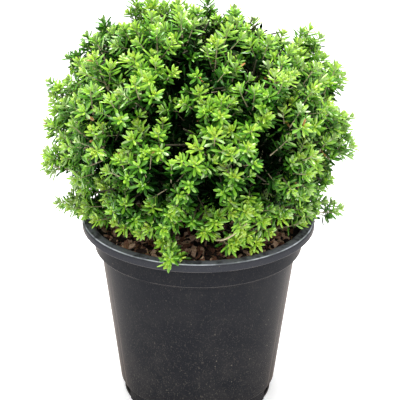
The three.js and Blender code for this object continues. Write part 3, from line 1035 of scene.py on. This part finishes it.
leader_tips = np.concatenate([spray_tips, sprig_tips, low_tips])
leader_headings = np.concatenate([headings_at(spray_tips), headings_at(sprig_tips), low_headings])
placed_count = len(leader_tips) - sprays
placed = np.arange(len(leader_tips)) >= sprays
shaded = np.arange(len(leader_tips)) >= len(leader_tips) - len(SHADED_SPRIGS)
sunk = np.concatenate([sunk, np.zeros(placed_count, bool)]) | shaded
lobe = np.concatenate([lobe, np.zeros(placed_count, bool)])
print(len(leader_tips), "leaders, of which", int(sunk.sum()), "stay sunk")

# %% [markdown]
# The rings of side shoots are measured from their leader: so far out from its axis, so far
# below its tip, and tilted outwards. Each side shoot then meets its leader's stem at a
# length that follows from the two. Two deeper layers, leafy but in dark greens that are
# painted shade, close the view inside, and a last one closes it just inside the outline.
# Shoots that would lie on the mix, stand in a hollow or pass the outline are left out.

# %% Shoots
LEADER, INNER, OUTER, DEEP, DEEPEST, EDGE = range(6)
# A ring has its count, then its spans of the way out, the drop in mm and the tilt in radians.
INNER_RING = (3, (14, 21), (5, 17), (0.42, 0.75))
OUTER_RING = (3, (19, 27), (23, 37), (0.8, 1.15))
RING_SHAKE = 0.3
PLUME_SHARE = 0.46
LEADER_LENGTH = 42
DEEP_LENGTH = 34
DEEP_SHOOTS = 560
DEEPEST_SHOOTS = 300
DEEP_SHARE = 0.7
DEEPEST_SHARE = 0.57
DEEP_SPREAD = 0.03
DEEP_SHAKE = 0.06
EDGE_TURNS = np.arange(-32, 204, 3.5)
EDGE_DEPTHS = (0.08, 0.15)
SKIRT_CLEAR = 1
SKIRT_RADIUS = 105
SKIRT_SLOPE = 0.9
UNDER_HEIGHT = 222
UNDER_RADIUS = 82
ASKEW = (0.31, 0.87, 0.38)


def spokes(axes, turns):
    """Unit directions square to each axis, at turns round it."""
    side = unit_of(np.cross(axes, ASKEW))[..., None, :]
    third = np.cross(axes[..., None, :], side)
    return side * np.cos(turns)[..., None] + third * np.sin(turns)[..., None]


def side_shoots(count, out, drop, tilt):
    """A ring of shoots round every leader: tips, headings and lengths."""
    start_turns = random.uniform(0, 2 * math.pi, (len(leader_tips), 1))
    turns = np.arange(count) * 2 * math.pi / count + start_turns
    turns = turns + random.normal(0, RING_SHAKE, turns.shape)
    out = random.uniform(*out, turns.shape) * np.where(placed, PLUME_SHARE, 1)[:, None]
    drop = random.uniform(*drop, turns.shape)
    tilt = random.uniform(*tilt, turns.shape)
    spoke = spokes(leader_headings, turns)
    heading = leader_headings[:, None]
    points = leader_tips[:, None] + spoke * out[..., None] - heading * drop[..., None]
    ways = heading * np.cos(tilt)[..., None] + spoke * np.sin(tilt)[..., None]
    return points.reshape(-1, 3), ways.reshape(-1, 3), (out / np.sin(tilt)).ravel()


def layer(ways, shares):
    """Shoots whose tips lie at shares of the crown's axes along the given ways."""
    points = ways * shares[:, None] * crown_axes
    return points, headings_at(points), np.full(len(points), DEEP_LENGTH)


def deep_layer(count, share, turn_start):
    """Shoots all round the crown, well below its surface."""
    ways = even_ways(count, turn_start, DEEP_SHAKE)
    shares = np.minimum(reach(ways), 1) * (share + random.normal(0, DEEP_SPREAD, count))
    return layer(ways, shares)


def edge_layer():
    """Shoots just inside the outline that the camera sees, at two depths in turn."""
    depths = np.resize(EDGE_DEPTHS, len(EDGE_TURNS))
    shares = np.interp(EDGE_TURNS, OUTLINE[:, 0], OUTLINE[:, 1]) - depths
    return layer(outline_way(EDGE_TURNS), shares)


rings = [
    (leader_tips, leader_headings, np.full(len(leader_tips), LEADER_LENGTH)),
    side_shoots(*INNER_RING),
    side_shoots(*OUTER_RING),
    deep_layer(DEEP_SHOOTS, DEEP_SHARE, 2),
    deep_layer(DEEPEST_SHOOTS, DEEPEST_SHARE, 4),
    edge_layer(),
]
tips, headings, lengths = (np.concatenate(parts) for parts in zip(*rings))
kind = np.arange(len(rings)).repeat([len(ring[0]) for ring in rings])
leader = np.full(len(tips), -1)
for ring_kind, count in ((LEADER, 1), (INNER, INNER_RING[0]), (OUTER, OUTER_RING[0])):
    leader[kind == ring_kind] = np.arange(len(leader_tips)).repeat(count)
has_leader = leader >= 0
is_placed = has_leader & placed[leader]

level = tips[:, 2] + CROWN_HEIGHT
way_out = np.hypot(tips[:, 0], tips[:, 1])
skirt = SKIRT_HEIGHT + SKIRT_CLEAR + SKIRT_SLOPE * np.maximum(way_out - SKIRT_RADIUS, 0)
hollow_near = (angles_to(unit_of(tips / crown_axes), hollow_ways) / hollow_sizes).min(axis=1)
is_open = (hollow_near < 1) | (level < FRONT_CLEAR) & (tips[:, 1] < 0)
is_outside = past_outline(tips) > OUTLINE_ROOM - LEAF_OVERHANG
is_own = is_placed | has_leader & lobe[leader] & (kind < OUTER)

# Left out are shoots that would lie on the rim or the mix, and those low round the trunk.
left_out = (level < skirt) & ~is_placed | (level < UNDER_HEIGHT) & (way_out < UNDER_RADIUS)
# So are those in a hollow, low in front or past the outline, unless they are placed there.
left_out = left_out | (is_open & (kind < DEEP) | is_outside) & ~is_own

# A low sprig close to the pot stays slim: it keeps one inner side shoot at most.
is_low = leader >= len(leader_tips) - len(low_tips)
is_low = is_low & (np.hypot(*leader_tips[leader, :2].T) < OVERHANG_RADIUS)
in_turn = (np.arange(len(kind)) % 3 > 0) | (leader % 2 > 0)
left_out = left_out | is_low & ((kind == OUTER) | (kind == INNER) & in_turn)

shadow = np.clip(HOLLOW_EDGE - hollow_near, 0, 1)
shoots = (tips, headings, lengths, kind, leader, has_leader, is_placed, is_low, shadow)
shoots = tuple(values[~left_out] for values in shoots)
tips, headings, lengths, kind, leader, has_leader, is_placed, is_low, shadow = shoots
print("shoots of each kind:", np.bincount(kind).tolist())

# %% [markdown]
# Young wood is drawn as slim closed tubes. Each shoot bends up at its end, as the real
# ones reach for light. Side shoots end at their leader, and a leader's foot curves in to
# the first twig that it can join most directly. All tubes are made at once from arrays.

# %% Twigs
SHOOT_BEND = 0.005
SHOOT_RINGS = 4
FOOT_RINGS = 4
FOOT_BEND = 0.4
STRAIGHT_RINGS = 6
BARE_BRANCH = [(16, -104, 226), (24, -122, 229), (36, -127, 241), (48, -125, 253)]
BARE_STEPS = 8
# A tube has its first and last radius in mm, and its number of sides.
LEADER_TUBE = (0.5, 1, 5)
SIDE_TUBE = (0.4, 0.75, 3)
BARE_TUBE = (1.2, 0.8, 7)
FOOT_TUBE = (0.75, 1, 5)
TWIG_TUBE = (1.2, 0.7, 7)
STEM_TUBE = (2, 2, 8)


def shoot_path(tip, heading, back):
    """Points and headings along shoots, at distances back from their tips."""
    drop = np.array([0, 0, 1]) * SHOOT_BEND * back[..., None]
    points = tip - heading * back[..., None] + drop * back[..., None] / 2
    return points, unit_of(heading - drop)


def tubes(lines, first_radius, last_radius, sides):
    """Closed tapering tubes along many centre lines of shape (tubes, rings, 3)."""
    count, rings, _ = lines.shape
    hoop = np.arange(sides)
    spoke = spokes(unit_of(np.gradient(lines, axis=1)), hoop * 2 * math.pi / sides)
    radii = np.linspace(first_radius, last_radius, rings)
    hoops = lines[:, :, None] + spoke * radii[:, None, None]
    ends = lines[:, [0, -1]]
    points = np.concatenate([hoops.reshape(count, rings * sides, 3), ends], axis=1)
    following = (hoop + 1) % sides
    faces = []
    for ring in range(rings - 1):
        here, there = ring * sides, (ring + 1) * sides
        faces.append(np.stack([here + hoop, here + following, there + following], axis=1))
        faces.append(np.stack([here + hoop, there + following, there + hoop], axis=1))
    last = (rings - 1) * sides
    first_end = np.full(sides, rings * sides)
    faces.append(np.stack([first_end, following, hoop], axis=1))
    faces.append(np.stack([first_end + 1, last + hoop, last + following], axis=1))
    starts = np.arange(count) * points.shape[1]
    triangles = np.concatenate(faces)[None] + starts[:, None, None]
    return points.reshape(-1, 3), triangles.reshape(-1, 3)


def joints_for(feet):
    """For each foot, where it joins a first twig most directly, and how far that is."""
    twig_length = np.linalg.norm(twig_to - twig_from, axis=1)
    twig_heading = unit_of(twig_to - twig_from)
    from_root = feet[:, None] - twig_from[None]
    ahead = (from_root * twig_heading[None]).sum(axis=2)
    beside = np.linalg.norm(from_root - ahead[..., None] * twig_heading[None], axis=2)
    join_at = np.clip(ahead - beside, 0, twig_length)
    joints = twig_from[None] + twig_heading[None] * join_at[..., None]
    foot_length = np.linalg.norm(feet[:, None] - joints, axis=2)
    nearest = (np.arange(len(feet)), foot_length.argmin(axis=1))
    return joints[nearest], foot_length[nearest]


def straight(starts, ends):
    """Straight centre lines from each start to its end."""
    share = np.linspace(0, 1, STRAIGHT_RINGS)[None, :, None]
    return starts[:, None] * (1 - share) + ends[:, None] * share


def crown_piece(name, shape, finishes, face_finish=None):
    """A piece from (points, triangles) that are measured from the crown's centre."""
    points, triangles = shape
    shape = (points + crown_centre, triangles)
    piece_from_arrays(name, shape, finishes, foliage_nodes, face_finish)


is_leader = kind == LEADER
is_side = (kind == INNER) | (kind == OUTER)
is_deep = kind >= DEEP
shoot_back = np.linspace(0, 1, SHOOT_RINGS)[None] * lengths[:, None]
shoot_lines, _ = shoot_path(tips[:, None], headings[:, None], shoot_back)
feet = shoot_lines[~is_side][:, -1]
_, foot_heading = shoot_path(tips[~is_side], headings[~is_side], lengths[~is_side])
joint, foot_length = joints_for(feet)
bend = feet - foot_heading * (FOOT_BEND * foot_length)[:, None]
share = np.linspace(0, 1, FOOT_RINGS)[None, :, None]
foot_lines = feet[:, None] * (1 - share) ** 2 + 2 * bend[:, None] * share * (1 - share)
foot_lines = foot_lines + joint[:, None] * share**2
bare_line = [bezier(BARE_BRANCH, step / BARE_STEPS) for step in range(BARE_STEPS + 1)]
bare_line = np.array(bare_line) - crown_centre

green_finish = Finish("young_stem", Roughness=0.6, Base_Color=paint(182, 170, 136))
wood_finish = Finish("twig_wood", Roughness=0.85, Base_Color=paint(52, 47, 29))
green_tubes = joined([
    tubes(shoot_lines[is_leader], *LEADER_TUBE),
    tubes(shoot_lines[is_side], *SIDE_TUBE),
    tubes(bare_line[None], *BARE_TUBE),
])
crown_piece("young_stems", green_tubes, [green_finish])
wood_tubes = joined([
    # Deep shoots' stems go with the dark twig wood, not the pale young stems: painted shade.
    tubes(shoot_lines[is_deep], *SIDE_TUBE),
    tubes(foot_lines, *FOOT_TUBE),
    tubes(straight(twig_from, twig_to), *TWIG_TUBE),
    tubes(straight(stem_from, stem_to), *STEM_TUBE),
])
crown_piece("twig_wood", wood_tubes, [wood_finish])

# %% [markdown]
# A leaf is narrow and pointed, a centimetre and a bit long, arched across its midrib and
# pale beneath. Three small closed leaf shapes do for all: a fine one for the shoots that
# show, a plainer one for their older leaves, and a rough one for those deeper in.

# %% Leaf shapes
MIDRIB_RISE = 0.33


def leaf_shape(sections):
    """A closed leaf of unit length and width: its points, its faces, and which are beneath.

    sections holds (place along the leaf, half width) for each cross section.
    """
    points = [(0, 0, 0)]
    for along, half in sections:
        points += [(-half, along, 0), (0, along, MIDRIB_RISE), (half, along, 0)]
    points.append((0, 1, 0))
    tip = len(points) - 1
    upper = [(0, 2, 1), (0, 3, 2)]
    lower = [(0, 1, 3)]
    for n in range(len(sections) - 1):
        left, middle, right = 3 * n + 1, 3 * n + 2, 3 * n + 3
        upper += [(left, middle, middle + 3), (left, middle + 3, left + 3)]
        upper += [(middle, right, right + 3), (middle, right + 3, middle + 3)]
        lower += [(left, left + 3, right + 3), (left, right + 3, right)]
    last = 3 * len(sections) - 2
    upper += [(last, last + 1, tip), (last + 1, last + 2, tip)]
    lower += [(last, tip, last + 2)]
    beneath = np.array([0] * len(upper) + [1] * len(lower))
    return np.array(points, float), np.array(upper + lower), beneath


fine_leaf = leaf_shape([(0.2, 0.22), (0.6, 0.5), (0.85, 0.36)])
plain_leaf = leaf_shape([(0.3, 0.38), (0.78, 0.48)])
rough_leaf = leaf_shape([(0.64, 0.5)])
print("faces of a leaf:", [len(leaf[1]) for leaf in (fine_leaf, plain_leaf, rough_leaf)])

# %% [markdown]
# Leaves stand in whorls of four round the shoot, each whorl turned by an eighth against
# the one below. At the tip they are small, upright and yellow, and down the shoot they
# grow, spread and darken, partly with age and partly as painted shade. So place, size,
# lean and tint all come from a leaf's age. A shoot that lies deep, is sunk or stands beside
# a hollow is painted darker as a whole, as shade, and one in a bright lobe or a low sprig
# near the pot a little lighter, as painted light.

# %% Leaves of the shoots
# Each whorl from the tip down: its way back in mm, then its leaves' lean, length and tint.
WHORL_BACK = np.array([0.5, 2, 4.2, 7.2, 11.4, 16.6, 22.6, 29.4])
WHORL_LEAN = np.radians([16, 38, 53, 63, 69, 74, 79, 84])
WHORL_LENGTH = np.array([5.2, 8.9, 11.5, 12.5, 12.5, 12.2, 11.8, 11.4])
# The tint darkens down the shoot partly with age and partly as painted shade.
WHORL_TINT = np.array([-0.1, 0.8, 1.8, 2.8, 3.7, 4.6, 5.5, 6.4])
LEAVES_IN_WHORL = 4
LEAF_WIDTH = 3.2
LEAF_LOST = 0.08
FOOT_CLEAR = 2
VIGOUR_SPREAD = 0.09
VIGOUR_LIMITS = (0.8, 1.2)
TURN_SHAKE = 0.13
LEAN_SHAKE = 0.13
TWIST_SHAKE = 0.25
LENGTH_SHAKE = 0.08
CURL = (0.02, 0.09)
# A tint is a step down the ladder of greens in LEAF_TINTS. Each kind of shoot adds its own; the outer
# ring and the deep kinds add steps of painted shade.
KIND_SHADE_TINT = np.array([0.2, 0.3, 2.1, 4.9, 6.9, 0.8])
PATCH_SWING = 0.55
PATCH_SPANS = (21, 24, 30)
SHOOT_TINT_SPREAD = 0.35
LEAF_TINT_SPREAD = 0.3
# Painted shade: shoots near a hollow are darker, the more so the closer they stand.
HOLLOW_SHADE_TINT = 1.9
# Painted shade: leaves of a sunk spray, and of a low sprig in the shade, are darker.
SUNK_SHADE_TINT = 1.4
# Painted light: leaves of a bright lobe are a little lighter.
LOBE_LIGHT_TINT = -0.4
# Painted light: leaves of a low sprig near the pot are a little lighter.
LOW_LIGHT_TINT = -0.45
PLACED_DARKEST = 5
# Painted sheen: a pale, whitish green dealt to some leaves of the brighter steps, standing in for
# glints.
SHEEN_DARKEST = 3
SHEEN_SHOOTS = 0.08
SHEEN_CHANCES = (0.6, 0.06)
DRY_CHANCE = 0.0015
SHOWING_WHORLS = 5
LOW_WHORLS = 6
# Deep shoots have lost so many whorls at the tip.
BARE_TIPS = {DEEP: 2, DEEPEST: 3}
# The ladder runs from the yellow green of young hearts down to near black. Its lower steps are partly
# the leaves' age and partly painted shade, and the last two, deep and shade, are painted shade alone.
LEAF_TINTS = {
    "heart": paint(165, 194, 56), "new": paint(158, 200, 55), "bright": paint(152, 200, 57),
    "fresh": paint(121, 176, 46), "mid": paint(83, 141, 32), "full": paint(48, 97, 18),
    "old_and_shaded": paint(21, 60, 9), "deep": paint(10, 37, 4), "shade": paint(5, 19, 3),
    "painted_sheen": paint(162, 194, 122), "dry": paint(168, 122, 70),
}
SHEEN_STEP = list(LEAF_TINTS).index("painted_sheen")
DRY = list(LEAF_TINTS).index("dry")

whorls = np.arange(len(WHORL_BACK))
grid = (len(tips), len(whorls), LEAVES_IN_WHORL)
vigour = random.normal(1, VIGOUR_SPREAD, (len(tips), 1, 1))
back = WHORL_BACK[None] * np.clip(vigour[:, :, 0], *VIGOUR_LIMITS)
root, axis = shoot_path(tips[:, None], headings[:, None], back)
root = np.broadcast_to(root[:, :, None], grid + (3,))
start_turn = random.uniform(0, 2 * math.pi, (len(tips), 1, 1))
turn = start_turn + whorls[None, :, None] * math.pi / LEAVES_IN_WHORL
turn = turn + np.arange(LEAVES_IN_WHORL) * 2 * math.pi / LEAVES_IN_WHORL
turn = turn + random.normal(0, TURN_SHAKE, grid)
radial = spokes(axis, turn)
axis = axis[:, :, None]
lean = (WHORL_LEAN[None, :, None] + random.normal(0, LEAN_SHAKE, grid))[..., None]
along = axis * np.cos(lean) + radial * np.sin(lean)
face = axis * np.sin(lean) - radial * np.cos(lean)
across = np.cross(along, face)
twist = random.normal(0, TWIST_SHAKE, grid)[..., None]
flat_face, flat_across = face, across
face = flat_face * np.cos(twist) + flat_across * np.sin(twist)
across = flat_across * np.cos(twist) - flat_face * np.sin(twist)
length = WHORL_LENGTH[None, :, None] * vigour * random.normal(1, LENGTH_SHAKE, grid)
curl = random.normal(*CURL, grid)

waves = tips / PATCH_SPANS
shoot_tint = PATCH_SWING * np.sin(waves[:, 0] + 1) * np.cos(waves[:, 1] + 2 + waves[:, 2])
shoot_tint = shoot_tint + random.normal(0, SHOOT_TINT_SPREAD, len(tips)) + KIND_SHADE_TINT[kind]
shoot_tint = shoot_tint + (SUNK_SHADE_TINT * sunk + LOBE_LIGHT_TINT * lobe)[leader] * has_leader
shoot_tint = shoot_tint + HOLLOW_SHADE_TINT * shadow + LOW_LIGHT_TINT * is_low
tint = WHORL_TINT[None, :, None] + shoot_tint[:, None, None]
tint = tint + random.normal(0, LEAF_TINT_SPREAD, grid)
darkest = np.where(is_placed, PLACED_DARKEST, SHEEN_STEP - 1)[:, None, None]
tint = np.clip(np.round(tint), 0, darkest).astype(int)
# Some shoots get many painted-sheen leaves, the rest only a few.
sheen_draw = random.random(grid)
sheen_chance = np.where(random.random(len(tips)) < SHEEN_SHOOTS, *SHEEN_CHANCES)
painted_sheen = (sheen_draw < sheen_chance[:, None, None]) & (tint > 0) & (tint <= SHEEN_DARKEST)
tint = np.where(painted_sheen, SHEEN_STEP, tint)
tint = np.where(random.random(grid) < DRY_CHANCE, DRY, tint)

kept = (random.random(grid) > LEAF_LOST) & (back < lengths[:, None] - FOOT_CLEAR)[:, :, None]
for bare_kind, bare_whorls in BARE_TIPS.items():
    kept[kind == bare_kind, :bare_whorls] = False
kept[is_low, LOW_WHORLS:] = False
print("leaves of each tint:", np.bincount(tint[kept]).tolist())

young = whorls < SHOWING_WHORLS
fine = (kind < OUTER)[:, None] & young
plain = ((kind == OUTER) | (kind == EDGE))[:, None] & young | (kind < OUTER)[:, None] & ~young
rough = ~(fine | plain)

# %% [markdown]
# Leaves of one tint are joined into one piece with two plain finishes, its own tint on
# top and a pale, felted one beneath. The tints are dealt out by shoot and by age, with
# painted shade and light laid over them, so no pattern has to find its place on tens of
# thousands of tiny leaves.

# %% Leaf pieces
DOWN = paint(214, 228, 176)
DOWN_SHARE = 0.5
LEAF_GLOSS = 0.8
POT_TOP = crest + 1
SOIL_CLEAR = SOIL_LEVEL + 4


def clear_of_pot(points):
    """For each leaf, True if none of its points dips into the rim or the mix."""
    height = points[..., 2] + CROWN_HEIGHT
    out = np.hypot(points[..., 0], points[..., 1])
    in_rim = (height < POT_TOP) & (out < RIM_RADIUS + 2) & (out > brim - 4)
    in_soil = (height < SOIL_CLEAR) & (out <= brim)
    return ~(in_rim | in_soil).any(axis=1)


def make_leaves(chosen, leaf):
    """Places one leaf shape at every chosen leaf that is clear of the pot."""
    template, faces, beneath = leaf
    points = root[chosen][:, None] + across[chosen][:, None] * (template[:, 0] * LEAF_WIDTH)[:, None]
    reach_out = length[chosen][:, None] * template[:, 1]
    points = points + along[chosen][:, None] * reach_out[..., None]
    rise = template[:, 2] * LEAF_WIDTH + curl[chosen][:, None] * reach_out * template[:, 1]
    points = points + face[chosen][:, None] * rise[..., None]
    points = points[clear_of_pot(points)]
    starts = np.arange(len(points)) * len(template)
    triangles = (faces[None] + starts[:, None, None]).reshape(-1, 3)
    return points.reshape(-1, 3), triangles, np.tile(beneath, len(points))


for number, (name, green) in enumerate(LEAF_TINTS.items()):
    of_tint = kept & (tint == number)
    parts = []
    for where, leaf in ((fine, fine_leaf), (plain, plain_leaf), (rough, rough_leaf)):
        parts.append(make_leaves(of_tint & where[:, :, None], leaf))
    bright = green[1] / LEAF_TINTS["heart"][1]
    upper = Finish(
        "leaf_" + name, Roughness=0.34, Specular_IOR_Level=LEAF_GLOSS * bright, Base_Color=green,
    )
    share = DOWN_SHARE * bright
    pale = tuple((1 - share) * part + share * bright * down for part, down in zip(green, DOWN))
    under = Finish("leaf_underside_" + name, Roughness=0.75, Base_Color=pale)
    is_under = np.concatenate([beneath for _, _, beneath in parts])
    leaves = joined([(points, triangles) for points, triangles, _ in parts])
    crown_piece("leaves_" + name, leaves, [upper, under], is_under)
